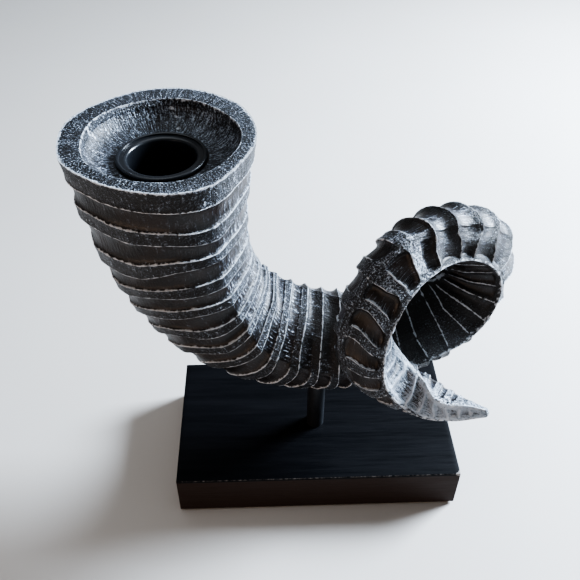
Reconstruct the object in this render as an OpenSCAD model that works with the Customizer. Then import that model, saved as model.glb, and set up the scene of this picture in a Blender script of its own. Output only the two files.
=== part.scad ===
// Horn-shaped taper candle holder: a cast ram's horn, mouth up, on a steel post
// over a black wooden base. A pressed metal cup for the candle drops into the mouth.
// Millimetres, +Z up, origin on the table under the centre of the base.

/* [Base] */
// Width of the wooden base
base_w = 127; // [110:1:160]
// Depth of the wooden base, front to back
base_d = 70; // [58:1:90]
// Thickness of the wooden base
base_t = 22; // [18:1:30]
// Width of the narrow chamfer round the base's top edges
base_chamfer = 0.6; // [0.2:0.1:2]

/* [Felt] */
// Thickness of the felt sheet under the base
felt_t = 1; // [0.5:0.5:3]
// Distance from the base's edges to the felt
felt_inset = 1.5; // [0.5:0.5:5]

/* [Post and tie rod] */
// Outer diameter of the post
post_d = 8; // [7.6:0.1:12]
// Diameter of the tie rod inside the post
rod_d = 6; // [4:0.5:6.5]
// Distance of the post in front of the base's centre
post_front = 3; // [0:0.5:8]
// Length of post that is let into the horn
post_in_horn = 5; // [3:0.5:8]
// Length of the threaded insert above the post
insert_l = 12; // [8:1:14]
// Outer diameter of the washer under the base
washer_d = 14; // [12:1:16]
// Thickness of the washer
washer_t = 1.6; // [1:0.1:2.5]
// Width of the nut across its flats
nut_af = 10; // [9:0.5:11]
// Height of the nut
nut_h = 5; // [4:0.5:6]
// Length of rod that stands out below the nut
rod_end = 1; // [0.5:0.5:2]

/* [Horn] */
// Height of the mouth's rim above the base
horn_h = 151; // [125:1:185]
// Number of ribs from mouth to tip
rib_count = 39; // [30:1:48]
// Depth of the groove between two ribs
rib_depth = 1.8; // [0.8:0.1:2.4]
// Width of the flat rim round the mouth
rim_w = 7; // [5:0.5:8]
// Depth from the rim down to the cup's seat
bowl_depth = 9; // [6:0.5:14]

/* [Candle cup] */
// Inside diameter of the candle cup
cup_bore = 24; // [20:0.5:29]
// Depth of the candle cup
cup_depth = 25; // [18:1:32]
// Thickness of the cup's metal
cup_wall = 0.8; // [0.6:0.1:1.2]
// Width of the cup's flange outside its wall
cup_lip = 3.2; // [2:0.2:4]

/* [Clearances] */
// Gap round the post and the insert in the horn
post_gap = 0.1; // [0.05:0.05:0.3]
// Gap round the tie rod in the post, the washer, the nut and the insert
rod_gap = 0.1; // [0.05:0.05:0.3]
// Gap round the tie rod in the wooden base
base_hole_gap = 0.4; // [0.2:0.1:1]
// Gap between the candle cup and its socket
cup_gap = 0.6; // [0.3:0.1:1]

/* [Hidden] */
$fn = 64;
tiny = 0.01;

// Route of the horn's centre from mouth to tip, as x, y, height above the base, radius,
// turn of the keels in degrees and swell of the outer face. The stations are an equal
// number of ribs apart.
route_h = 151;
route = [
    [-57.5, 2.5, 151, 34.5, 0, 0],
    [-57.5, 2.5, 104, 28.5, -3, 0.05],
    [-41, 2.5, 65, 24.5, -10, 0.05],
    [-14, 0, 54, 24, -12, 0.05],
    [13, -1, 51, 22.5, -12, 0.05],
    [34, -2, 59, 21, -12, 0.1],
    [59, 6, 65, 20, -12, 0.2],
    [70.5, 10, 93, 14, -8, 0.2],
    [46, -5, 115, 11.8, -9, 0.12],
    [21, -25, 114, 11.5, 5, 0.2],
    [10, -32, 71.5, 11.8, 10, 0.2],
    [37, -39, 58.5, 9, 2, 0.2],
    [49, -49, 64, 5, 4, 0],
    [58, -52, 65, 2, 3, 0]];
last = len(route) - 1;
horn_scale = horn_h / route_h;

// Axis that the horn curls round, and the three keels round its section: inner back,
// front and outer, in degrees from that axis, with how flat the face after each one is
curl_axis = [0.55, -0.82, -0.13];
keels = [-95, 0, 100, 265];
face_flat = [0.7, 0.3, 0.1];
face_sides = [5, 5, 8];
// Keel strength at the mouth, and how fast it grows along the horn
keel_start = 0.15;
keel_growth = 2.5;
// Lobe at the front of the mouth: its height as a share of the radius, its middle and width
// in degrees from the front keel, and the part of the horn that it fades over
lobe_height = 0.09;
lobe_middle = 10;
lobe_width = 26;
lobe_length = 0.16;
// Part of the rib depth that stands outside the mean radius
crest_share = 0.25;
// Radius below which the ribs fade
rib_fade_r = 8;
// Place of the first crest, as a share of one rib
first_crest = 0.35;
// Step along the route that its direction is taken over
heading_step = 0.002;

// Heights, from the table up
base_bottom = felt_t;
base_top = base_bottom + base_t;
rim_z = base_top + horn_h;
seat_z = rim_z - bowl_depth;
post_x = 0;
post_y = -post_front;
// Height of the horn's underside at the post
horn_under_z = base_top + 28 * horn_scale;
post_top = horn_under_z + post_in_horn;
insert_top = post_top + insert_l;
recess_d = washer_d + 2;
recess_depth = rod_end + nut_h + washer_t + 1.4;
washer_z = base_bottom + recess_depth - washer_t;
nut_z = washer_z - nut_h;
rod_bottom = nut_z - rod_end;

// Candle cup and bowl
mouth = [route[0][0], route[0][1]] * horn_scale;
cup_r = cup_bore / 2;
cup_out_r = cup_r + cup_wall;
flange_r = cup_out_r + cup_lip;
socket_r = cup_out_r + cup_gap;
bowl_r = route[0][3] * horn_scale - rim_w;
seat_r = flange_r + cup_gap;

function unit(v) = v / norm(v);
function xyz(s) = [s[0], s[1], s[2]];

// Station i of the route, carried on in a straight line past both ends
function station(i) =
    i < 0 ? 2 * route[0] - route[1] :
    i > last ? 2 * route[last] - route[last - 1] : route[i];

// Cubic B-spline through the stations, for u from 0 at the mouth to 1 at the tip
function on_route(u) =
    let (t = u * last, i = min(floor(t), last - 1), f = t - i, g = 1 - f)
    (station(i - 1) * pow(g, 3)
        + station(i) * (3 * pow(f, 3) - 6 * f * f + 4)
        + station(i + 1) * (3 * pow(g, 3) - 6 * g * g + 4)
        + station(i + 2) * pow(f, 3)) / 6;

function heading(u) =
    unit(xyz(on_route(min(1, u + heading_step))) - xyz(on_route(max(0, u - heading_step))));

// How far the section reaches at angle a, as a share of its radius, for keel strength k
function reach(a, k, swell) =
    let (n = a < keels[1] ? 0 : a < keels[2] ? 1 : 2,
        half = (keels[n + 1] - keels[n]) / 2,
        mid = (keels[n + 1] + keels[n]) / 2,
        flat = face_flat[n] - (n == 2 ? swell : 0))
    1 - k * flat * (1 - cos(half) / cos(a - mid));

function mouth_lobe(a, u) =
    1 + lobe_height * max(0, 1 - u / lobe_length) * exp(-pow((a - lobe_middle) / lobe_width, 2));

section_angles = [for (n = [0:2]) for (j = [0:face_sides[n] - 1])
    keels[n] + (keels[n + 1] - keels[n]) * j / face_sides[n]];
sides = len(section_angles);

// Ring of points at u, grown by d outside the mean radius
function ring(u, d) =
    let (s = on_route(u),
        t = heading(u),
        front = unit(curl_axis - (curl_axis * t) * t),
        out = cross(t, front),
        k = min(1, keel_start + keel_growth * u),
        r = s[3] + d * min(1, s[3] / rib_fade_r))
    [for (a = section_angles)
        (xyz(s) + r * reach(a, k, s[5]) * mouth_lobe(a, u)
            * (cos(a + s[4]) * front + sin(a + s[4]) * out)) * horn_scale + [0, 0, base_top]];

// Rings alternate between a crest and a groove, two for each rib
ring_places = [
    [0, rib_depth * crest_share],
    for (i = [0:2 * rib_count - 2])
        [(i / 2 + first_crest) / rib_count,
            rib_depth * (i % 2 == 0 ? crest_share : crest_share - 1)],
    [1, 0]];
horn_points = [for (p = ring_places) each ring(p[0], p[1])];
rings = len(ring_places);
horn_faces = concat(
    [[for (j = [0:sides - 1]) j]],
    [for (i = [0:rings - 2]) for (j = [0:sides - 1])
        let (a = i * sides + j, b = i * sides + (j + 1) % sides)
        each [[a, a + sides, b], [b, a + sides, b + sides]]],
    [[for (j = [sides - 1:-1:0]) (rings - 1) * sides + j]]);

module at_post(z) translate([post_x, post_y, z]) children();
module at_mouth(z) translate([mouth[0], mouth[1], z]) children();

module tube(r_out, r_in, h) {
    difference() {
        cylinder(r = r_out, h = h);
        translate([0, 0, -1]) cylinder(r = r_in, h = h + 2);
    }
}

module base_block() {
    color([0.05, 0.05, 0.06]) difference() {
        translate([-base_w / 2, -base_d / 2, base_bottom]) cube([base_w, base_d, base_t]);
        for (side = [-1, 1]) {
            translate([side * base_w / 2, 0, base_top]) rotate([0, 45, 0])
                cube([base_chamfer * sqrt(2), base_d + 2, base_chamfer * sqrt(2)], center = true);
            translate([0, side * base_d / 2, base_top]) rotate([45, 0, 0])
                cube([base_w + 2, base_chamfer * sqrt(2), base_chamfer * sqrt(2)], center = true);
        }
        at_post(0) cylinder(d = rod_d + 2 * base_hole_gap, h = base_top + 1);
        at_post(0) cylinder(d = recess_d, h = base_bottom + recess_depth);
    }
}

module post() {
    color([0.08, 0.08, 0.09]) at_post(base_top)
        tube(post_d / 2, rod_d / 2 + rod_gap, post_top - base_top);
}

module tie_rod() {
    color([0.6, 0.6, 0.62]) at_post(rod_bottom)
        cylinder(d = rod_d, h = insert_top - 1 - rod_bottom);
}

module base_washer() {
    color([0.7, 0.7, 0.72]) at_post(washer_z)
        tube(washer_d / 2, rod_d / 2 + rod_gap, washer_t);
}

module base_nut() {
    color([0.7, 0.7, 0.72]) at_post(nut_z) difference() {
        cylinder(d = nut_af / cos(30), h = nut_h, $fn = 6);
        translate([0, 0, -1]) cylinder(d = rod_d + 2 * rod_gap, h = nut_h + 2);
    }
}

module horn_insert() {
    color([0.75, 0.6, 0.3]) at_post(post_top)
        tube(post_d / 2, rod_d / 2 + rod_gap, insert_l);
}

// Bowl of the mouth: a quarter-round dish from the rim's inner edge down to the seat
module bowl_cut() {
    steps = 8;
    rotate_extrude() polygon(concat(
        [[0, -tiny], [seat_r, -tiny]],
        [for (i = [0:steps])
            let (a = 90 * i / steps)
            [seat_r + (bowl_r - seat_r) * sin(a), bowl_depth * (1 - cos(a)) + tiny]],
        [[bowl_r, bowl_depth + 5], [0, bowl_depth + 5]]));
}

module horn() {
    color([0.16, 0.15, 0.16]) difference() {
        polyhedron(horn_points, horn_faces, convexity = 12);
        at_mouth(rim_z) translate([0, 0, 2.5]) cube([100, 100, 5], center = true);
        at_mouth(seat_z) bowl_cut();
        at_mouth(seat_z - cup_depth - cup_wall - cup_gap)
            cylinder(r = socket_r, h = cup_depth + 5);
        at_post(base_top) cylinder(d = post_d + 2 * post_gap, h = insert_top + 1 - base_top);
    }
}

module candle_cup() {
    lip_round = cup_wall;
    color([0.05, 0.05, 0.06]) at_mouth(seat_z) {
        difference() {
            union() {
                cylinder(r = flange_r, h = cup_wall);
                translate([0, 0, -cup_depth]) cylinder(r = cup_out_r, h = cup_depth + lip_round);
            }
            translate([0, 0, cup_wall - cup_depth]) cylinder(r = cup_r, h = cup_depth + 5);
        }
        translate([0, 0, cup_wall]) rotate_extrude()
            translate([flange_r - lip_round, 0]) circle(r = lip_round);
    }
}

module felt_sheet() {
    felt_w = base_w - 2 * felt_inset;
    felt_d = base_d - 2 * felt_inset;
    color([0.1, 0.1, 0.1]) translate([-felt_w / 2, -felt_d / 2, 0]) cube([felt_w, felt_d, felt_t]);
}

base_block();
post();
tie_rod();
base_washer();
base_nut();
horn_insert();
horn();
candle_cup();
felt_sheet();
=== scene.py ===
"""Horn-shaped taper candle holder: the looks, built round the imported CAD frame. Metres, +Z up."""

import math

import bpy
import numpy as np
from mathutils import Matrix, Vector, noise
from mathutils.bvhtree import BVHTree


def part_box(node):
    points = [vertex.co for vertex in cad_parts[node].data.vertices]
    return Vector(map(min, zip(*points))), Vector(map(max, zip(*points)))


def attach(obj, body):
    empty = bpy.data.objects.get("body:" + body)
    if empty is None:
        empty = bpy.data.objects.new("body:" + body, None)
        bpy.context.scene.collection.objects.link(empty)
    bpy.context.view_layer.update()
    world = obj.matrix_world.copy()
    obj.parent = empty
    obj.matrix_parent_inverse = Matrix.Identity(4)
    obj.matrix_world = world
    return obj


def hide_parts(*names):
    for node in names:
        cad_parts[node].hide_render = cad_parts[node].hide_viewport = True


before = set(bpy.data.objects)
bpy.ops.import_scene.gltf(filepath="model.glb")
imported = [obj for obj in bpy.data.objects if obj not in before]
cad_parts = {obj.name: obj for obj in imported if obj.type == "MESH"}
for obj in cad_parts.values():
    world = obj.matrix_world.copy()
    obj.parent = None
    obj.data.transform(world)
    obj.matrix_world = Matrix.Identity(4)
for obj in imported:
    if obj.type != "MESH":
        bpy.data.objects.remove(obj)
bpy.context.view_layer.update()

MM = 0.001
RNG = np.random.default_rng(7)

# Places taken from the frame, in millimetres
base_lo, base_hi = (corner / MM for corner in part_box("base_block"))
post_lo, post_hi = (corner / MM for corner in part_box("post"))
cup_lo, cup_hi = (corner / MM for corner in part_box("candle_cup"))
felt_lo, felt_hi = (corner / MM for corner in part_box("felt_sheet"))
insert_top = (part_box("horn_insert")[1] / MM).z
washer_top = (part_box("base_washer")[1] / MM).z
rim_z = (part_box("horn")[1] / MM).z
base_top = base_hi.z
post_x = (post_lo.x + post_hi.x) / 2
post_y = (post_lo.y + post_hi.y) / 2
post_r = (post_hi.x - post_lo.x) / 2
mouth_x = (cup_lo.x + cup_hi.x) / 2
mouth_y = (cup_lo.y + cup_hi.y) / 2
flange_r = (cup_hi.x - cup_lo.x) / 2

# ---------------------------------------------------------------- camera

CAMERA_PLACE = (-21.7, -219.2, 299.6)
CAMERA_YAW = 2.45
CAMERA_PITCH = 41.7
CAMERA_ROLL = 0.5
LENS = 45
FILM_WIDTH = 36


def make_camera():
    """The camera stands above the front, a little to the left, and looks down at the holder."""
    yaw, pitch, roll = (math.radians(a) for a in (CAMERA_YAW, CAMERA_PITCH, CAMERA_ROLL))
    level_share = math.cos(pitch)
    ahead = Vector((math.sin(yaw) * level_share, math.cos(yaw) * level_share, -math.sin(pitch)))
    level = Vector((math.cos(yaw), -math.sin(yaw), 0))
    upright = level.cross(ahead)
    right = math.cos(roll) * level + math.sin(roll) * upright
    up = math.cos(roll) * upright - math.sin(roll) * level
    bpy.ops.object.camera_add()
    camera = bpy.context.object
    camera.name = "camera"
    turn = Matrix((right, up, -ahead)).transposed().to_4x4()
    camera.matrix_world = Matrix.Translation(Vector(CAMERA_PLACE) * MM) @ turn
    camera.data.sensor_width = FILM_WIDTH
    camera.data.lens = LENS
    camera.data.clip_start = 0.01
    bpy.context.scene.camera = camera


# ---------------------------------------------------------------- materials


class Finish:
    """A node material. Each call adds one node, fills its sockets and returns what it gives out."""

    def __init__(self, name):
        self.material = bpy.data.materials.new(name)
        self.material.use_nodes = True
        self.tree = self.material.node_tree
        self.shader = self.tree.nodes["Principled BSDF"]

    def fill(self, socket, value):
        """Links a node's output to a socket, or sets the socket's own number or colour."""
        if isinstance(value, bpy.types.NodeSocket):
            self.tree.links.new(value, socket)
        else:
            socket.default_value = value

    def add(self, kind, settings, sockets, out=0):
        """Adds a shader node and gives back one of its outputs."""
        node = self.tree.nodes.new("ShaderNode" + kind)
        for key, value in settings.items():
            setattr(node, key, value)
        for key, value in sockets.items():
            self.fill(node.inputs[key], value)
        return node.outputs[out]

    def place(self):
        """The place on the object, in metres."""
        return self.add("TexCoord", {}, {}, "Object")

    def attribute(self, name, out="Fac"):
        return self.add("Attribute", {"attribute_name": name}, {}, out)

    def stretch(self, vector, scale):
        return self.add("Mapping", {}, {"Vector": vector, "Scale": scale})

    def grain(self, vector, scale, detail=3.0, roughness=0.6, distortion=0.0):
        return self.add("TexNoise", {}, {"Vector": vector, "Scale": scale, "Detail": detail,
                                         "Roughness": roughness, "Distortion": distortion})

    def ramp(self, value, low, high, to_low=0.0, to_high=1.0):
        """A smooth step between two levels."""
        return self.add("MapRange", {"interpolation_type": "SMOOTHSTEP"},
                        {"Value": value, "From Min": low, "From Max": high,
                         "To Min": to_low, "To Max": to_high})

    def math(self, operation, a, b=0.0, c=0.0):
        return self.add("Math", {"operation": operation}, {0: a, 1: b, 2: c})

    def mix(self, share, a, b):
        return self.add("Mix", {"data_type": "RGBA"}, {0: share, 6: a, 7: b}, 2)

    def bump(self, height, depth, strength):
        return self.add("Bump", {}, {"Height": height, "Distance": depth, "Strength": strength})

    def surface(self, **sockets):
        """Fills the shader's own sockets and hands back the material."""
        for key, value in sockets.items():
            self.fill(self.shader.inputs[key.replace("_", " ")], value)
        return self.material


def cast_resin():
    """Near-black cast resin, brown in its hollows, with silver from a dry brush on everything raised.
    Painted light is mixed in: more silver on faces turned to the window, painted glints, and a blue tint
    taken from the window's light.
    """
    f = Finish("cast_resin")
    place = f.place()
    along = f.attribute("along", "Vector")
    line, brushed_and_lit, hollow = (f.attribute(n) for n in ("line", "brushed_and_lit", "hollow"))
    speck = f.grain(place, 1500.0, 3.0, 0.65)
    fleck = f.grain(place, 650.0, 2.0, 0.55)
    patch = f.grain(place, 120.0, 3.0, 0.6)
    stroke = f.grain(f.stretch(along, (1.0, 1.0, 0.16)), 1500.0, 2.0, 0.6)
    # Dots on the bands and short strokes along the horn in the grooves
    streaky = f.math("MULTIPLY_ADD", hollow, 0.4, 0.3)
    grit = f.math("ADD", f.math("MULTIPLY", speck, f.math("SUBTRACT", 1.0, streaky)),
                  f.math("MULTIPLY", stroke, streaky))
    level = f.math("MULTIPLY_ADD", brushed_and_lit, 0.20, grit)
    level = f.math("MULTIPLY_ADD", f.math("SUBTRACT", patch, 0.5), 0.16, level)
    dry = f.ramp(level, 0.56, 0.72)
    # Bright flecks: partly silver paint, partly painted glints that stand in for the window's highlights
    glint_fleck = f.ramp(level, 0.66, 0.74)
    broken = f.math("MULTIPLY_ADD", f.math("SUBTRACT", fleck, 0.5), 1.9, line)
    edge = f.ramp(broken, 0.5, 0.9)
    black = f.mix(f.ramp(speck, 0.35, 0.65), (0.003, 0.003, 0.004, 1), (0.013, 0.013, 0.015, 1))
    brown = f.mix(f.ramp(patch, 0.4, 0.65), (0.008, 0.005, 0.004, 1), (0.022, 0.013, 0.010, 1))
    ground = f.mix(f.math("MULTIPLY", hollow, 0.85), black, brown)
    # The blue tint of the silver, the bright flecks and the edge lines is painted light, taken from the
    # cool window
    film = f.mix(f.ramp(brushed_and_lit, 0.6, 1.2), (0.105, 0.122, 0.155, 1), (0.50, 0.58, 0.68, 1))
    colour = f.mix(f.math("MULTIPLY", dry, 0.8), ground, film)
    colour = f.mix(f.math("MULTIPLY", glint_fleck, 0.85), colour, (0.45, 0.50, 0.57, 1))
    colour = f.mix(f.math("MULTIPLY", edge, 0.85), colour, (0.60, 0.64, 0.70, 1))
    stippled = f.math("MULTIPLY", grit, f.ramp(hollow, 0.1, 0.6, 1.0, 0.35))
    height = f.math("ADD", stippled, f.math("MULTIPLY", glint_fleck, 0.1))
    normal = f.bump(height, 0.0013, 0.9)
    return f.surface(Base_Color=colour, Normal=normal, Metallic=f.math("MULTIPLY", glint_fleck, 0.5),
                     Roughness=f.ramp(hollow, 0.2, 0.8, 0.38, 0.34), Specular_IOR_Level=0.45)


def black_wood():
    """Satin black paint that lets the grain through and is worn pale along its top edges."""
    f = Finish("black_wood")
    place = f.place()
    along_grain = f.stretch(place, (0.06, 1.0, 1.0))
    fibre = f.grain(along_grain, 900.0, 4.0, 0.65, 0.4)
    figure = f.grain(along_grain, 160.0, 3.0, 0.6, 1.2)
    dust = f.grain(place, 2600.0, 2.0, 0.5)
    worn = f.attribute("worn")
    chip = f.math("ADD", f.math("SUBTRACT", f.grain(place, 520.0, 4.0, 0.7), 0.5), worn)
    rub = f.ramp(chip, 0.42, 0.85)
    paint = f.mix(f.ramp(figure, 0.35, 0.7), (0.0025, 0.003, 0.0045, 1), (0.0055, 0.006, 0.008, 1))
    paint = f.mix(f.ramp(dust, 0.62, 0.8, 0.0, 0.3), paint, (0.04, 0.04, 0.045, 1))
    # The sides take a brown cast: a painted reflection of a warm wooden table
    paint = f.mix(f.attribute("side"), paint, (0.030, 0.020, 0.017, 1))
    colour = f.mix(f.math("MULTIPLY", rub, 0.85), paint, (0.27, 0.25, 0.24, 1))
    height = f.math("ADD", f.math("MULTIPLY", fibre, 0.7), f.math("MULTIPLY", figure, 0.5))
    normal = f.bump(height, 0.00022, 0.55)
    return f.surface(Base_Color=colour, Normal=normal, Roughness=f.ramp(fibre, 0.3, 0.7, 0.42, 0.56),
                     Specular_IOR_Level=0.14)


def black_steel(name, roughness):
    """Satin black paint on steel, with faint orange peel and dust."""
    f = Finish(name)
    place = f.place()
    peel = f.grain(place, 700.0, 2.0, 0.5)
    dust = f.grain(place, 3200.0, 2.0, 0.6)
    cloud = f.grain(place, 90.0, 3.0, 0.6)
    colour = f.mix(f.ramp(dust, 0.6, 0.8, 0.0, 0.5), (0.016, 0.018, 0.022, 1), (0.06, 0.063, 0.07, 1))
    gloss = f.ramp(cloud, 0.3, 0.7, roughness - 0.05, roughness + 0.07)
    return f.surface(Base_Color=colour, Normal=f.bump(peel, 0.00008, 0.4), Roughness=gloss,
                     Specular_IOR_Level=0.6)


def turned_metal(name, pale, dark, metal_roughness):
    """Plated or turned metal with fine marks round its axis and a little tarnish."""
    f = Finish(name)
    place = f.place()
    marks = f.grain(f.stretch(place, (0.15, 0.15, 1.0)), 5200.0, 2.0, 0.6)
    tarnish = f.grain(place, 220.0, 4.0, 0.65)
    colour = f.mix(f.ramp(tarnish, 0.4, 0.72), pale, dark)
    gloss = f.ramp(marks, 0.3, 0.7, metal_roughness - 0.06, metal_roughness + 0.1)
    return f.surface(Base_Color=colour, Metallic=1.0, Normal=f.bump(marks, 0.00006, 0.5),
                     Roughness=gloss)


def felt_cloth():
    """Pressed black felt: a nap of short fibres with lint on it."""
    f = Finish("felt")
    place = f.place()
    nap = f.grain(place, 3000.0, 4.0, 0.75)
    tuft = f.grain(place, 500.0, 3.0, 0.6)
    lint = f.ramp(f.grain(place, 1200.0, 2.0, 0.5), 0.66, 0.8)
    colour = f.mix(f.ramp(nap, 0.3, 0.7), (0.010, 0.010, 0.011, 1), (0.035, 0.035, 0.038, 1))
    colour = f.mix(f.math("MULTIPLY", lint, 0.5), colour, (0.12, 0.12, 0.125, 1))
    height = f.math("ADD", nap, f.math("MULTIPLY", tuft, 0.8))
    return f.surface(Base_Color=colour, Normal=f.bump(height, 0.0004, 0.8), Roughness=0.95,
                     Sheen_Weight=0.3, Sheen_Roughness=0.5)


def pale_floor():
    """A matt pale studio floor."""
    f = Finish("pale_floor")
    cloud = f.grain(f.place(), 6.0, 2.0, 0.5)
    colour = f.mix(cloud, (0.50, 0.48, 0.46, 1), (0.55, 0.53, 0.51, 1))
    return f.surface(Base_Color=colour, Roughness=0.7)


# ---------------------------------------------------------------- modelling helpers


def paint(piece, material, slot):
    """Gives a piece its one material. The slot argument is not used."""
    piece.data.materials.clear()
    piece.data.materials.append(material)


def clear_selection():
    """Deselects everything, as operators act on all that is selected."""
    bpy.ops.object.select_all(action="DESELECT")


def take(piece):
    """Selects one piece alone and makes it active."""
    clear_selection()
    piece.select_set(True)
    bpy.context.view_layer.objects.active = piece


def settle(piece):
    """Puts a piece's place, turn and size into its mesh."""
    take(piece)
    bpy.ops.object.transform_apply(location=True, rotation=True, scale=True)


def finish_with(piece, kind, **settings):
    """Adds a modifier and applies it."""
    take(piece)
    modifier = piece.modifiers.new(kind.lower(), kind)
    for key, value in settings.items():
        setattr(modifier, key, value)
    bpy.ops.object.modifier_apply(modifier=modifier.name)


def soften(piece, degrees):
    """Shades smooth all edges that turn less than an angle."""
    take(piece)
    bpy.ops.object.shade_smooth_by_angle(angle=math.radians(degrees))


def rod_cutter(x, y, low, high, radius, sides=96):
    """A plain cylinder, in millimetres, that a hole is cut with."""
    clear_selection()
    bpy.ops.mesh.primitive_cylinder_add(vertices=sides, radius=radius * MM, depth=(high - low) * MM,
                                        location=(x * MM, y * MM, (low + high) / 2 * MM))
    cutter = bpy.context.object
    settle(cutter)
    return cutter


def cut_away(piece, cutter):
    """Cuts one solid out of a piece and throws the cutter away."""
    finish_with(piece, "BOOLEAN", object=cutter, operation="DIFFERENCE", solver="EXACT")
    bpy.data.objects.remove(cutter)


def put_in_scene(name, mesh):
    """Makes a mesh a piece and opens it for editing."""
    piece = bpy.data.objects.new(name, mesh)
    bpy.context.scene.collection.objects.link(piece)
    take(piece)
    bpy.ops.object.mode_set(mode="EDIT")
    return piece


def mesh_piece(name, points, faces):
    """A piece from points in millimetres, with its faces turned outwards."""
    mesh = bpy.data.meshes.new(name)
    mesh.from_pydata((np.asarray(points) * MM).tolist(), [], faces)
    mesh.validate()
    piece = put_in_scene(name, mesh)
    bpy.ops.mesh.select_all(action="SELECT")
    bpy.ops.mesh.normals_make_consistent(inside=False)
    bpy.ops.object.mode_set(mode="OBJECT")
    return piece


def lathe(name, outline, x, y, steps):
    """A round piece spun from (radius, height) points that start and end on its axis."""
    points = [((x + r) * MM, y * MM, z * MM) for r, z in outline]
    mesh = bpy.data.meshes.new(name)
    mesh.from_pydata(points, [(i, i + 1) for i in range(len(points) - 1)], [])
    piece = put_in_scene(name, mesh)
    bpy.ops.mesh.select_all(action="SELECT")
    bpy.ops.mesh.spin(steps=steps, angle=2 * math.pi, center=(x * MM, y * MM, 0), axis=(0, 0, 1))
    bpy.ops.mesh.select_all(action="SELECT")
    bpy.ops.mesh.remove_doubles(threshold=0.005 * MM)
    bpy.ops.mesh.normals_make_consistent(inside=False)
    bpy.ops.object.mode_set(mode="OBJECT")
    return piece


def ease(x, low, high):
    """0 below low, 1 above high and smooth between them."""
    t = np.clip((np.asarray(x, float) - low) / (high - low), 0, 1)
    return t * t * (3 - 2 * t)


def lumps(points, scale, seed):
    """Smooth noise from -1 to 1 at each point, with lumps about 1/scale millimetres across."""
    shift = Vector((seed * 17.3, seed * 5.1, seed * 11.7))
    heights = [noise.noise(Vector(p) * scale + shift) for p in points.reshape(-1, 3)]
    return np.array(heights).reshape(points.shape[:-1])


# ---------------------------------------------------------------- horn

# The route of the horn's centre, as in the CAD. Each row: x, y, height above the base, radius,
# turn of the keels in degrees, and how much less flat the outer face is
ROUTE = np.array([
    [-57.5, 2.5, 151, 34.5, 0, 0],
    [-57.5, 2.5, 104, 28.5, -3, 0.05],
    [-41, 2.5, 65, 24.5, -10, 0.05],
    [-14, 0, 54, 24, -12, 0.05],
    [13, -1, 51, 22.5, -12, 0.05],
    [34, -2, 59, 21, -12, 0.1],
    [59, 6, 65, 20, -12, 0.2],
    [70.5, 10, 93, 14, -8, 0.2],
    [46, -5, 115, 11.8, -9, 0.12],
    [21, -25, 114, 11.5, 5, 0.2],
    [10, -32, 71.5, 11.8, 10, 0.2],
    [37, -39, 58.5, 9, 2, 0.2],
    [49, -49, 64, 5, 4, 0],
    [58, -52, 65, 2, 3, 0]], float)
CURL_AXIS = np.array([0.55, -0.82, -0.13])
# The keels part the horn's section into three faces. Angles in degrees, 0 towards the front
KEELS = np.array([-95.0, 0.0, 100.0, 265.0])
INNER, FRONT, OUTER = 0, 1, 2
# How flat each face is, from 0 for round to 1 for straight between its keels
FACE_FLAT = np.array([0.7, 0.3, 0.1])
# Lobes of the mouth's outline: angle, height as a share of the radius, width in degrees
MOUTH_LOBES = [(10, 0.095, 26), (143, 0.025, 18), (217, 0.045, 26)]
# Along the horn, in ribs: how far a rib leans towards the mouth at the outer keel, and the angle in
# degrees that this keel lies at, which swings forward over the curl
LEAN = ([0, 3, 5, 7, 11, 14, 18, 24, 27, 29, 31, 34, 39],
        [0, 0, 0.4, 0.85, 0.85, 0.6, 0.2, 0, 0.15, 0.45, 0.6, 0.3, 0])
OUTER_KEEL = ([0, 16, 19, 22, 24, 26, 28, 32, 39],
              [100, 100, 84, 70, 66, 74, 92, 100, 100])
# Ribs from rim to tip. A place's phase counts them, and its fraction tells groove from raised band
RIBS = 39
FIRST_PHASE = 0.45
BAND_START = 0.6
# Samples across one rib, closest together at the crisp edge
RIB_STEPS = [0, 0.02, 0.055, 0.11, 0.19, 0.28, 0.37, 0.45, 0.53,
             0.585, 0.615, 0.66, 0.74, 0.82, 0.90, 0.95, 0.985]
# Straight stretches that a rib's edge is carved in, going once round the horn
KINKS = 13
# Columns on the inner face, the front face and the outer face
COLUMNS = [30, 34, 50]
# Flats that the mouth's outline is carved in
MOUTH_FLATS = 15
# Creases in the bowl: bearing in degrees, and the rings of the bowl that they run across
BOWL_CRACKS = [(88, 7, 15), (168, 6, 11)]
# Columns that a crease moves sideways at each ring
CRACK_SLANT = 0.35
# The pressed cup: its wall, how far its flange stands out from that and how tall the flange is, and
# the room left round the cup in its socket
CUP_WALL = 0.8
CUP_BRIM = 3.2
CUP_FLANGE = 1.6
CUP_ROOM = 0.6
# The room left round the post
POST_ROOM = 0.1
# Rings of the mouth: how many lie on the flat rim, and where the bowl ends
RIM_RINGS = 6
BOWL_END = 16
# The side that the silver brush came from, which is also the window's side: faces turned to it get painted
# light as well as silver
BRUSH_AND_LIGHT_FROM = np.array([0.70, -0.05, 0.71])
# Where the front limb's inner face takes broader edge lines and then more silver, and where the tip takes
# more silver, in ribs from the rim. The extra silver on the limb and the tip is partly painted light,
# standing in for the window's light on them
LIMB_EDGES = (30, 32)
LIMB_BRUSHED_AND_LIT = (28.5, 31.5)
TIP_BRUSHED_AND_LIT = (33, 35)
# How open a spot is: rings looked at, every how many columns, rays from each spot, how far above the
# surface they start in millimetres, how much they lean outwards, and how far they look in metres
SHELTER_ROWS = 150
SHELTER_COLUMN_STEP = 4
SHELTER_RAYS = 40
SHELTER_LIFT = 1.5
SHELTER_LEAN = 0.6
SHELTER_REACH = 0.055


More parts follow.
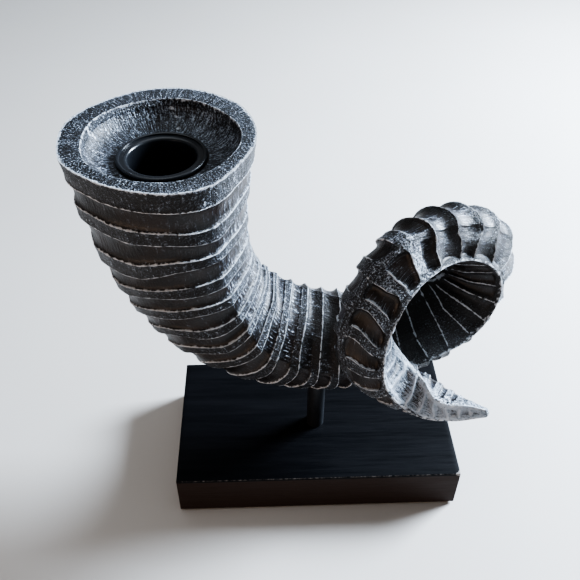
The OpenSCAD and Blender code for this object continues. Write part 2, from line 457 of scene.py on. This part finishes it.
def route_at(u):
    """Uniform cubic B-spline through the stations, carried on straight past both ends."""
    last = len(ROUTE) - 1
    stations = np.vstack([2 * ROUTE[0] - ROUTE[1], ROUTE, 2 * ROUTE[-1] - ROUTE[-2]])
    t = np.clip(u, 0, 1) * last
    i = np.minimum(t.astype(int), last - 1)
    f = (t - i)[..., None]
    g = 1 - f
    return (stations[i] * g ** 3 + stations[i + 1] * (3 * f ** 3 - 6 * f * f + 4)
            + stations[i + 2] * (3 * g ** 3 - 6 * g * g + 4) + stations[i + 3] * f ** 3) / 6


def unit(v):
    """Vectors scaled to a length of 1."""
    return v / np.linalg.norm(v, axis=-1, keepdims=True)


def rib_lean(angle_deg, phase):
    """How far a rib leans towards the mouth at each angle, in ribs: most at the outer keel."""
    share = ease(angle_deg, 0, 75) * (1 - ease(angle_deg, 110, 250))
    return np.interp(phase, *LEAN) * share


def swung(angle_deg, phase):
    """The angle that a column really lies at, where the outer keel has swung away."""
    outer = np.interp(phase, *OUTER_KEEL)
    front = angle_deg * outer / KEELS[2]
    back = KEELS[3] - (KEELS[3] - angle_deg) * (KEELS[3] - outer) / (KEELS[3] - KEELS[2])
    return np.where(angle_deg < 0, angle_deg, np.where(angle_deg < KEELS[2], front, back))


def kinked(rows, knots, size):
    """Random offsets at knots round the horn, one row for each rib, closed on themselves."""
    offsets = RNG.normal(0, size, (rows, knots))
    return np.hstack([offsets, offsets[:, :1]])


def rib_wobble(angle, phase):
    """How far each rib wanders along the horn at each angle, in ribs. Neighbours drift apart slowly."""
    edges = RIBS + 3
    sizes = RNG.normal(0, 1, (edges, 3)) * [0.05, 0.06, 0.05]
    turns = RNG.uniform(0, 2 * math.pi, (edges, 3))
    kinks = kinked(edges, KINKS, 0.055)
    i = phase.astype(int)
    share = phase - i
    knot = np.mod(angle / (2 * math.pi), 1) * KINKS
    j = np.minimum(knot.astype(int), KINKS - 1)
    part = knot - j
    total = 0
    for rib, weight in ((i, 1 - share), (i + 1, share)):
        waves = sum(sizes[rib, m] * np.cos((m + 1) * angle + turns[rib, m]) for m in range(3))
        total = total + weight * (waves + kinks[rib, j] * (1 - part) + kinks[rib, j + 1] * part)
    return total * ease(phase, 0.5, 2.2) * ease(RIBS + FIRST_PHASE - phase, 0.3, 2)


def across_face(angle_deg):
    """Which face an angle is on, half that face's width, and how far the angle is from its middle."""
    n = np.clip(np.searchsorted(KEELS, angle_deg, side="right") - 1, 0, 2)
    half = (KEELS[n + 1] - KEELS[n]) / 2
    middle = (KEELS[n + 1] + KEELS[n]) / 2
    return n, half, angle_deg - middle


# Profile across one rib, from one crisp edge to the next: a scooped groove and then a raised band
SCOOP = ([0, 0.02, 0.06, 0.16, 0.35, 0.50, 0.585, 0.615, 0.70, 0.84, 0.95, 1],
         [0.15, -0.25, -0.65, -0.85, -0.78, -0.55, -0.3, 0.08, 0.0, 0.04, 0.16, 0.22])
# Depth of the carving in millimetres along the horn, on the inner, front and outer faces
FACE_DEPTH = [([0, 0.12, 0.22, 0.34, 0.46, 0.56, 0.70, 0.82, 0.90, 1],
               [1.4, 1.3, 0.9, 0.45, 0.5, 1.1, 1.6, 1.9, 2.0, 1.2]),
              ([0, 0.15, 0.30, 0.45, 0.60, 0.75, 0.86, 1], [1.5, 1.7, 1.9, 2.2, 2.5, 2.1, 1.3, 0.4]),
              ([0, 0.20, 0.40, 0.60, 0.80, 1], [1.4, 1.6, 1.8, 2.1, 1.2, 0.4])]


def horn_relief(phase, angle_deg, u, radius):
    """Height of the carving in millimetres, and the shares that the finish reads."""
    within = phase - np.floor(phase)
    face, half, off = across_face(angle_deg)
    to_keel = np.radians(half - np.abs(off)) * radius
    keeled = ease(u, 0.2, 0.42)
    banded = np.interp(within, *SCOOP)
    cusped = 0.2 - np.sin(math.pi * within) ** 0.75
    # Thin ridges take the place of the bands: on the inner face down to the tip, on the outer face
    # up to the top of the curl, and on the front face only near that top
    past_top = ease(u, 0.645, 0.68)
    thin = np.choose(face, [ease(u, 0.16, 0.3),
                            ease(u, 0.4, 0.47) * (1 - past_top),
                            ease(u, 0.1, 0.26) * (1 - past_top)])
    shape = banded * (1 - thin) + cusped * thin
    depth = np.choose(face, [np.interp(u, *table) for table in FACE_DEPTH])
    # A scooped panel ends in a half round short of the keel
    groove_middle = BAND_START / 2
    q = np.clip(np.abs(within - groove_middle) / groove_middle, 0, 1.3)
    reach_in = ease(to_keel - 1.5 * q * q * (1 - thin), 0.9, 2.6)
    # Where the ribs are thin they run on across the outer keel
    beside_outer = ((face == FRONT) & (off > 0)) | ((face == OUTER) & (off < 0))
    reach_in = np.where(beside_outer, np.maximum(reach_in, thin), reach_in)
    panel = 1 - keeled * (1 - reach_in)
    rim_band = ease(phase, 0.97, 1.0)
    height = depth * shape * panel * rim_band
    keel_edge = keeled * np.exp(-(to_keel / 1.1) ** 2)
    at_outer = (np.abs(angle_deg - KEELS[2]) < 25) * ease(u, 0.4, 0.5)
    keel_edge = keel_edge * (1 - 0.7 * at_outer) * (1 - thin * beside_outer)
    height = height + 0.35 * keel_edge
    soft = np.clip(-shape, 0, 1)
    sunk = soft + (ease(-shape, 0.05, 0.4) - soft) * keeled * (1 - thin)
    hollow = sunk * panel * rim_band * ease(depth, 0.3, 1.0)
    band = np.clip(1 - hollow * 1.6, 0, 1) * (1 - thin * 0.8)
    return height, hollow, band, keel_edge, thin, panel


def horn_rings():
    """Phases of the rings from the rim to the tip."""
    phases = [i + f for i in range(RIBS + 1) for f in RIB_STEPS]
    end = FIRST_PHASE + RIBS
    return np.array([FIRST_PHASE] + [p for p in phases if FIRST_PHASE + 0.02 < p < end - 0.02] + [end])


def horn_angles():
    """Angles of the columns in degrees, closer together beside the keels."""
    angles = []
    for n, count in enumerate(COLUMNS):
        even = np.arange(count) / count
        eased = (1 - np.cos(math.pi * even)) / 2
        angles.append(KEELS[n] + (KEELS[n + 1] - KEELS[n]) * (0.65 * even + 0.35 * eased))
    return np.concatenate(angles)


def horn_surface():
    """The carved outside: points[ring, column], the place along the horn, and the finish's shares."""
    phase, angle = np.meshgrid(horn_rings(), horn_angles(), indexing="ij")
    turn = np.radians(angle)
    u = (phase - FIRST_PHASE) / RIBS
    moved = np.clip(u + (rib_wobble(turn, phase) - rib_lean(angle, phase)) / RIBS, 0, 1)
    station = route_at(moved)
    centre = station[..., :3]
    radius, keel_turn, less_flat = station[..., 3], station[..., 4], station[..., 5]
    step = 0.002
    ahead = route_at(np.minimum(1, moved + step))[..., :3]
    behind = route_at(np.maximum(0, moved - step))[..., :3]
    tangent = unit(ahead - behind)
    front = unit(CURL_AXIS - (tangent @ CURL_AXIS)[..., None] * tangent)
    out = np.cross(tangent, front)
    face, half, off = across_face(angle)
    keel = np.minimum(1, 0.15 + 2.5 * u)
    flat_share = FACE_FLAT[face] - np.where(face == OUTER, less_flat, 0)
    reach = 1 - keel * flat_share * (1 - np.cos(np.radians(half)) / np.cos(np.radians(off)))
    near_mouth = 1 - ease(u, 0.0, 0.16)
    facets = np.interp(np.mod(angle, 360) / 360 * MOUTH_FLATS, np.arange(MOUTH_FLATS + 1),
                       kinked(1, MOUTH_FLATS, 0.011)[0])
    swell = sum(high * np.exp(-((angle - at) / wide) ** 2) for at, high, wide in MOUTH_LOBES)
    lobes = 1 + near_mouth * facets + near_mouth * swell
    height, hollow, band, keel_edge, thin, panel = horn_relief(phase, angle, u, radius)
    fade = np.minimum(1, radius / 8)
    lies = np.radians(swung(angle, phase) + keel_turn)[..., None]
    radial = np.cos(lies) * front + np.sin(lies) * out
    flat = centre + (radius * reach * lobes)[..., None] * radial + [0, 0, base_top]
    carve = lumps(flat, 0.16, 1) * 0.35 + lumps(flat, 0.45, 2) * 0.16 * (0.4 + 0.6 * band)
    proud = height * fade + carve * fade * ease(phase, 0.45, 0.7)
    points = flat + (proud * reach)[..., None] * radial
    steps = np.linalg.norm(np.diff(route_at(u)[..., :3], axis=0), axis=-1)
    length = np.cumsum(np.vstack([np.zeros(phase.shape[1]), steps]), axis=0)
    per_rib = np.linalg.norm(np.gradient(points, axis=0), axis=-1) / np.gradient(phase, axis=0)
    within = phase - np.floor(phase)
    to_edge = np.minimum(within, 1 - within) * per_rib
    on_limb = ease(phase, *LIMB_EDGES) * (angle < 0)
    crisp = np.exp(-(to_edge / (0.42 + 0.5 * on_limb)) ** 2) * (0.55 + 0.45 * panel)
    ridge = np.exp(-(np.abs(within - BAND_START - 0.01) * per_rib / 0.42) ** 2) * 1.05 * (1 - thin) * panel
    rim_line = np.exp(-((phase - FIRST_PHASE) * per_rib / 0.7) ** 2)
    ridge = ridge * ease(phase, 0.9, 1.2) * (1 + 0.25 * ease(phase, 12, 22))
    line = np.maximum.reduce([crisp * ease(phase, 0.9, 0.98), ridge, keel_edge * 0.8, rim_line])
    # The horn rolled straight, as a tube of even thickness, for the brush's strokes
    tube_r = 20
    along = np.stack([tube_r * np.cos(turn), tube_r * np.sin(turn), length], axis=-1)
    inner = 1 - ease(angle, -8, 2)
    return points, along, {"line": line, "band": band, "hollow": hollow, "phase": phase, "inner": inner}


def rim_and_bowl(edge):
    """Rings inward from the rim's outer edge: flat rim, bowl, the cup's seat, its socket and floor."""
    dx, dy = edge[:, 0] - mouth_x, edge[:, 1] - mouth_y
    bearing = np.arctan2(dy, dx)
    outer = np.hypot(dx, dy)
    lean = np.cos(bearing + math.radians(58))
    oval = np.cos(2 * (bearing + math.radians(70)))
    corners = np.cos(5 * (bearing - math.radians(3)))
    bowl_r = 27.3 + 1.3 * lean + 0.5 * oval + 0.35 * corners
    seat_z = cup_hi.z - CUP_FLANGE
    bowl_depth = rim_z - seat_z
    seat_r = flange_r + CUP_ROOM
    socket_r = flange_r - CUP_BRIM + CUP_ROOM
    floor_z = cup_lo.z - CUP_ROOM
    rings = [(outer - 0.45, rim_z - 0.06), (outer - 1.2, rim_z), (outer * 0.66 + bowl_r * 0.34, rim_z),
             (outer * 0.33 + bowl_r * 0.67, rim_z), (bowl_r + 0.9, rim_z), (bowl_r + 0.35, rim_z - 0.08)]
    bands = [0.7, 0.6, 0.5, 0.5, 0.5, 0.55]
    lines = [0.9, 0.15, 0, 0, 0.1, 0.8]
    for a in range(80, -1, -8):
        rise = math.radians(a)
        share = math.sin(rise)
        rings.append((seat_r + (bowl_r - seat_r) * share,
                      seat_z + bowl_depth * (1 - math.cos(rise)) * 0.98))
        # The bowl's silver level is partly painted reflection of a bright wall
        bands.append(0.58)
        lines.append(0)
    rings += [(seat_r - 0.3, seat_z - 0.05), (socket_r + 0.3, seat_z), (socket_r, seat_z - 0.3),
              (socket_r, (seat_z + floor_z) / 2), (socket_r, floor_z), (socket_r * 0.5, floor_z)]
    socket_rings = len(rings) - len(bands)
    bands += [-0.3] * socket_rings
    lines += [0] * socket_rings
    points = []
    for k, (r, z) in enumerate(rings):
        ring = np.stack([mouth_x + r * np.cos(bearing), mouth_y + r * np.sin(bearing),
                         np.full(len(bearing), float(z))], axis=-1)
        rough = 0.12 if 0 < k < RIM_RINGS else 0.22 if k < BOWL_END else 0
        if rough:
            ring[:, 2] += np.minimum(0, lumps(ring, 0.3, 3) * rough)
        points.append(ring)
    return np.array(points), bearing, bands, lines


def shelter(piece, points):
    """How open each point is to its surroundings, from 0 to 1, from rays on a coarse grid of points."""
    tree = BVHTree.FromObject(piece, bpy.context.evaluated_depsgraph_get())
    rows = np.unique(np.linspace(0, points.shape[0] - 1, SHELTER_ROWS).astype(int))
    cols = np.arange(0, points.shape[1], SHELTER_COLUMN_STEP)
    rays = unit(RNG.normal(0, 1, (SHELTER_RAYS, 3)))
    coarse = np.zeros((len(rows), len(cols)))
    centres = points.mean(axis=1, keepdims=True)
    outward = unit(points - centres)
    for i, row in enumerate(rows):
        for j, col in enumerate(cols):
            away = outward[row, col]
            start = Vector((points[row, col] + away * SHELTER_LIFT) * MM)
            heads = np.where((rays @ away)[:, None] < 0, -rays, rays)
            heads = unit(heads + away * SHELTER_LEAN)
            hits = sum(tree.ray_cast(start, Vector(h), SHELTER_REACH)[0] is not None for h in heads)
            coarse[i, j] = 1 - hits / len(heads)
    every_row, every_col = np.arange(points.shape[0]), np.arange(points.shape[1])
    full = np.array([np.interp(every_row, rows, column) for column in coarse.T]).T
    wrapped = np.hstack([full, full[:, :1]])
    spots = np.append(cols, points.shape[1])
    return np.array([np.interp(every_col, spots, row) for row in wrapped])


def silver_and_light_share(shares, open_, normals):
    """How much silver the brush left, with painted light mixed in: most on open bands that face up and to
    the right, towards the window. Hollows turned away from it get painted shade, and sheltered spots lose
    silver both to the brush's reach and as painted shade.
    """
    turned_to_light = ease(normals @ BRUSH_AND_LIGHT_FROM, 0.1, 0.9)
    reached_and_lit = ease(open_, 0.35, 0.8)
    carved = 1.15 + 0.75 * ease(shares["phase"], 12, 22)
    # Faces and hollows turned to the window get more silver: painted light
    share = 0.30 * carved * shares["band"] + (0.31 + 0.33 * shares["hollow"]) * turned_to_light
    # Hollows turned away from the window lose silver: painted shade
    share = share - 0.28 * shares["hollow"] * (1 - turned_to_light)
    # Sheltered spots lose silver: the brush's reach, and painted shade
    share = share * (0.1 + 0.9 * reached_and_lit) - 0.35 * (1 - reached_and_lit)
    # Extra silver on the limb's inner face and on the tip: partly painted light from the window
    limb = ease(shares["phase"], *LIMB_BRUSHED_AND_LIT)
    share = np.maximum(share, limb * shares["inner"] * (1.15 - 0.5 * shares["hollow"]))
    return np.clip(share + 0.15 * ease(shares["phase"], *TIP_BRUSHED_AND_LIT), -0.35, 1.2)


def give(piece, name, values, kind="FLOAT"):
    """Stores one value for each point, for the materials to read."""
    attribute = piece.data.attributes.new(name, kind, "POINT")
    field = "vector" if kind == "FLOAT_VECTOR" else "value"
    attribute.data.foreach_set(field, np.asarray(values, np.float32).ravel())


def grid_faces(rows, cols):
    """Quads between neighbouring closed rings."""
    return [(i * cols + j, (i + 1) * cols + j, (i + 1) * cols + (j + 1) % cols, i * cols + (j + 1) % cols)
            for i in range(rows - 1) for j in range(cols)]


def round_off_tip(skin):
    """Three closing rings and an end point, in millimetres, that round off the tip."""
    centre = skin[-1].mean(axis=0)
    ahead = unit(centre - skin[-18].mean(axis=0))
    radius = np.linalg.norm(skin[-1] - centre, axis=1).mean()
    rings = [centre + (skin[-1] - centre) * math.cos(a) + ahead * radius * math.sin(a) * 0.8
             for a in (0.45, 0.9, 1.3)]
    return rings, centre + ahead * radius * 0.82


def add_cracks(mouth_lines, bearing):
    """Draws the bowl's creases into the mouth's rings, which run here from the floor to the rim."""
    rings, cols = mouth_lines.shape
    for at, first, last in BOWL_CRACKS:
        column = np.argmin(np.abs(np.angle(np.exp(1j * (bearing - math.radians(at))))))
        for ring in range(first, last):
            spot = column + CRACK_SLANT * (ring - first)
            for c in (math.floor(spot), math.floor(spot) + 1):
                mouth_lines[rings - 1 - ring, c % cols] = 0.80 - 0.45 * abs(spot - c)


def make_horn():
    """The carved horn, with its bowl, the cup's socket and the hole for the post."""
    skin, along, shares = horn_surface()
    mouth, bearing, mouth_band, mouth_line = rim_and_bowl(skin[0])
    rows, cols = skin.shape[:2]
    inner = len(mouth)
    # Mouth rings from the socket floor out to the rim, then the outside down to the tip
    cap, tip = round_off_tip(skin)
    grid = np.vstack([mouth[::-1], skin, cap])
    points = np.vstack([grid.reshape(-1, 3), mouth[-1].mean(axis=0), tip])
    total = len(grid)
    centre, end = total * cols, total * cols + 1
    last = (total - 1) * cols
    faces = grid_faces(total, cols)
    faces += [(centre, j, (j + 1) % cols) for j in range(cols)]
    faces += [(end, last + (j + 1) % cols, last + j) for j in range(cols)]
    horn = mesh_piece("horn_carved", points, faces)
    normals = np.array([v.normal for v in horn.data.vertices])[:total * cols].reshape(total, cols, 3)
    silver_and_lit = silver_and_light_share(shares, shelter(horn, skin), normals[inner:inner + rows])

    # The finish's shares on the mouth, the outside and the tip's cap, ring by ring
    dish = np.arange(inner)[::-1, None] > RIM_RINGS
    # Painted light in the bowl: extra silver on its back wall stands in for the light that falls on it
    # from the front
    far_wall_light = 0.07 * (1 + np.sin(bearing + 0.6)) * dish
    brushed_and_lit = np.vstack([np.array(mouth_band)[::-1, None] + far_wall_light, silver_and_lit, np.ones((len(cap), cols))])
    mouth_lines = np.repeat(np.array(mouth_line)[::-1, None], cols, 1)
    add_cracks(mouth_lines, bearing)
    line = np.vstack([mouth_lines, shares["line"], np.full((len(cap), cols), 0.5)])
    # The bowl's browner ground is partly painted light, in place of a fill lamp
    hollow = np.vstack([dish * np.full((1, cols), 0.45), shares["hollow"], np.zeros((len(cap), cols))])
    mouth_tube_r, ring_gap = 30, 1.5
    round_mouth = np.stack([np.repeat(mouth_tube_r * np.cos(bearing)[None], inner, 0),
                            np.repeat(mouth_tube_r * np.sin(bearing)[None], inner, 0),
                            np.repeat(-ring_gap * np.arange(inner)[::-1, None], cols, 1)], axis=-1)
    way = np.vstack([round_mouth, along, np.repeat(along[-1:], len(cap), 0)]) * MM
    # Each share, and what the two end points take
    for name, values, ends in (("line", line, (0, 0.6)),
                               ("brushed_and_lit", brushed_and_lit, (0, 1)),
                               ("hollow", hollow, (0.5, 0))):
        give(horn, name, np.append(values.ravel(), ends))
    give(horn, "along", np.vstack([way.reshape(-1, 3), way[0, :1], way[-1, :1]]), "FLOAT_VECTOR")

    # From well below the horn up to just above the insert, with a little room round the post
    cut_away(horn, rod_cutter(post_x, post_y, post_hi.z - 25, insert_top + 1, post_r + POST_ROOM))
    soften(horn, 38)
    paint(horn, cast_resin(), "cast_resin")
    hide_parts("horn")
    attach(horn, "stand")


# ---------------------------------------------------------------- base, felt, cup and metal parts

# Cuts across each side of the block, so that wear can follow its edges, and the radii of its holes
BLOCK_CUTS = 47
ROD_HOLE_R = 3.4
NUT_RECESS_R = 8


def make_base():
    """The wooden block, with softened edges, the rod's hole and the nut's recess."""
    size = base_hi - base_lo
    middle = (base_hi + base_lo) / 2
    clear_selection()
    bpy.ops.mesh.primitive_cube_add(size=1, location=middle * MM)
    block = bpy.context.object
    block.name = "base_painted"
    block.scale = size * MM
    settle(block)
    take(block)
    bpy.ops.object.mode_set(mode="EDIT")
    bpy.ops.mesh.select_all(action="SELECT")
    bpy.ops.mesh.subdivide(number_cuts=BLOCK_CUTS)
    bpy.ops.object.mode_set(mode="OBJECT")
    finish_with(block, "BEVEL", width=0.6 * MM, segments=4, limit_method="ANGLE")
    for v in block.data.vertices:
        p = v.co / MM
        if p.z > base_hi.z - 0.3:
            v.co.z += noise.noise(Vector((p.x * 0.05, p.y * 0.4, p.z * 0.4))) * 0.05 * MM
    places = [v.co / MM for v in block.data.vertices]
    worn = []
    for p in places:
        from_front, from_top = p.y - base_lo.y, base_hi.z - p.z
        nearest = sorted((base_hi.x - abs(p.x), from_front, from_top, base_hi.y - p.y))
        edge = math.exp(-((nearest[0] + nearest[1]) / 0.5) ** 2)
        top_front = math.exp(-((from_front + from_top) / 0.6) ** 2)
        corner = math.exp(-(((base_hi.x - p.x) + from_front + from_top) / 1.8) ** 2)
        worn.append(max(edge * 0.45, top_front * 0.66, corner * 2.2))
    give(block, "worn", worn)
    # Marks the sides, which the material gives a painted brown reflection
    give(block, "side", [base_hi.z - p.z > 1.0 for p in places])
    cut_away(block, rod_cutter(post_x, post_y, base_lo.z - 5, base_hi.z + 5, ROD_HOLE_R))
    cut_away(block, rod_cutter(post_x, post_y, base_lo.z - 5, washer_top, NUT_RECESS_R))
    soften(block, 35)
    paint(block, black_wood(), "black_wood")
    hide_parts("base_block")
    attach(block, "stand")


def make_felt():
    """The felt sheet under the base, with a slightly uneven cut edge."""
    clear_selection()
    size = felt_hi - felt_lo
    bpy.ops.mesh.primitive_grid_add(x_subdivisions=64, y_subdivisions=36, size=1,
                                    location=(0, 0, felt_hi.z * MM))
    felt = bpy.context.object
    felt.name = "felt_pressed"
    felt.scale = (size.x * MM, size.y * MM, 1)
    settle(felt)
    for v in felt.data.vertices:
        p = v.co / MM
        if max(abs(p.x) / felt_hi.x, abs(p.y) / felt_hi.y) > 0.999:
            trim = 1 - 0.004 * (1 + noise.noise(p * 0.35))
            v.co.x *= trim
            v.co.y *= trim
    finish_with(felt, "SOLIDIFY", thickness=size.z * MM * 0.97, offset=-1)
    finish_with(felt, "BEVEL", width=0.2 * MM, segments=2, limit_method="ANGLE")
    soften(felt, 40)
    paint(felt, felt_cloth(), "felt")
    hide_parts("felt_sheet")
    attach(felt, "stand")


def bend(centre_r, centre_z, radius, degrees, tall=None):
    """Points of an outline's rounded corner. 0 degrees is straight up, and 90 is outwards."""
    tall = tall or radius
    return [(centre_r + radius * math.sin(a), centre_z + tall * math.cos(a))
            for a in np.radians(degrees)]


def make_cup():
    """The pressed cup: a drawn wall, a rolled inner lip and a beaded flange."""
    wall = flange_r - CUP_BRIM
    inside = flange_r - CUP_BRIM - CUP_WALL
    low = cup_lo.z
    flange_z = cup_hi.z - CUP_FLANGE
    middle = (low + flange_z) / 2
    lip = 1.3
    # Floor and inner wall, with a rounded corner between them
    outline = [(0, low + CUP_WALL), (inside - 1.6, low + CUP_WALL)]
    outline += bend(inside - 1.6, low + CUP_WALL + 1.6, 1.6, [150, 120, 90])
    outline += [(inside, middle), (inside, flange_z - 0.4)]
    # Over the lip and out along the flange to its bead
    outline += bend(inside + lip, flange_z - 0.4, lip, [-70, -50, -30, -10, 10])
    outline += [(inside + 2.3, flange_z + 0.72), (inside + 2.75, flange_z + 0.8)]
    outline += bend(flange_r - 0.75, flange_z + 0.75, 0.75,
                    [-40, -15, 10, 35, 60, 90, 120, 150, 175], tall=0.8)
    # Back under the flange, down the outer wall and under the floor
    outline += [(wall + 0.8, flange_z + 0.02), (wall + 0.2, flange_z - 0.2), (wall, flange_z - 0.7),
                (wall, middle), (wall, low + 2.2)]
    outline += bend(wall - 2.2, low + 2.2, 2.2, [120, 150, 180])
    outline += [(0, low)]
    cup = lathe("cup_pressed", outline, mouth_x, mouth_y, 112)
    soften(cup, 50)
    paint(cup, black_steel("cup_paint", 0.3), "black_steel")
    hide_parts("candle_cup")
    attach(cup, "cup")


def dress_frame():
    """Materials for the CAD pieces that stay."""
    zinc = turned_metal("zinc_steel", (0.62, 0.63, 0.65, 1), (0.42, 0.42, 0.41, 1), 0.32)
    brass = turned_metal("brass", (0.72, 0.54, 0.25, 1), (0.45, 0.31, 0.13, 1), 0.3)
    for name, material, slot in (("post", black_steel("post_paint", 0.34), "black_steel"),
                                 ("tie_rod", zinc, "zinc_steel"), ("base_washer", zinc, "zinc_steel"),
                                 ("base_nut", zinc, "zinc_steel"), ("horn_insert", brass, "brass")):
        paint(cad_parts[name], material, slot)


# ---------------------------------------------------------------- floor and light


def make_floor():
    """A plain floor, wide enough to fill the view."""
    clear_selection()
    bpy.ops.mesh.primitive_plane_add(size=6, location=(0, 0, 0))
    floor = bpy.context.object
    floor.name = "floor"
    floor.data.materials.append(pale_floor())


def make_light(name, place, aim, size, power, colour):
    """A soft round lamp that faces its aim."""
    bpy.ops.object.light_add(type="AREA", location=place)
    light = bpy.context.object
    light.name = name
    light.data.shape = "DISK"
    light.data.size = size
    light.data.energy = power
    light.data.color = colour
    light.rotation_euler = (Vector(aim) - Vector(place)).to_track_quat("-Z", "Y").to_euler()


def make_studio():
    """The floor, a cool window at the right rear, a weak sky, and a warm room at the left front."""
    make_floor()
    middle = (0, 0, 0.08)
    make_light("window", (0.70, 0.30, 0.44), middle, 0.36, 36.0, (0.76, 0.87, 1.0))
    make_light("sky", (-0.1, 0.1, 0.9), middle, 0.9, 2.8, (0.88, 0.94, 1.0))
    make_light("room", (-0.55, -0.6, 0.16), middle, 0.5, 2.8, (1.0, 0.72, 0.52))
    world = bpy.data.worlds.new("studio")
    bpy.context.scene.world = world
    world.use_nodes = True
    background = world.node_tree.nodes["Background"].inputs
    background["Color"].default_value = (0.80, 0.80, 0.79, 1)
    background["Strength"].default_value = 0.2
    bpy.context.scene.view_settings.look = "AgX - High Contrast"


make_camera()
make_base()
make_felt()
make_cup()
make_horn()
dress_frame()
make_studio()
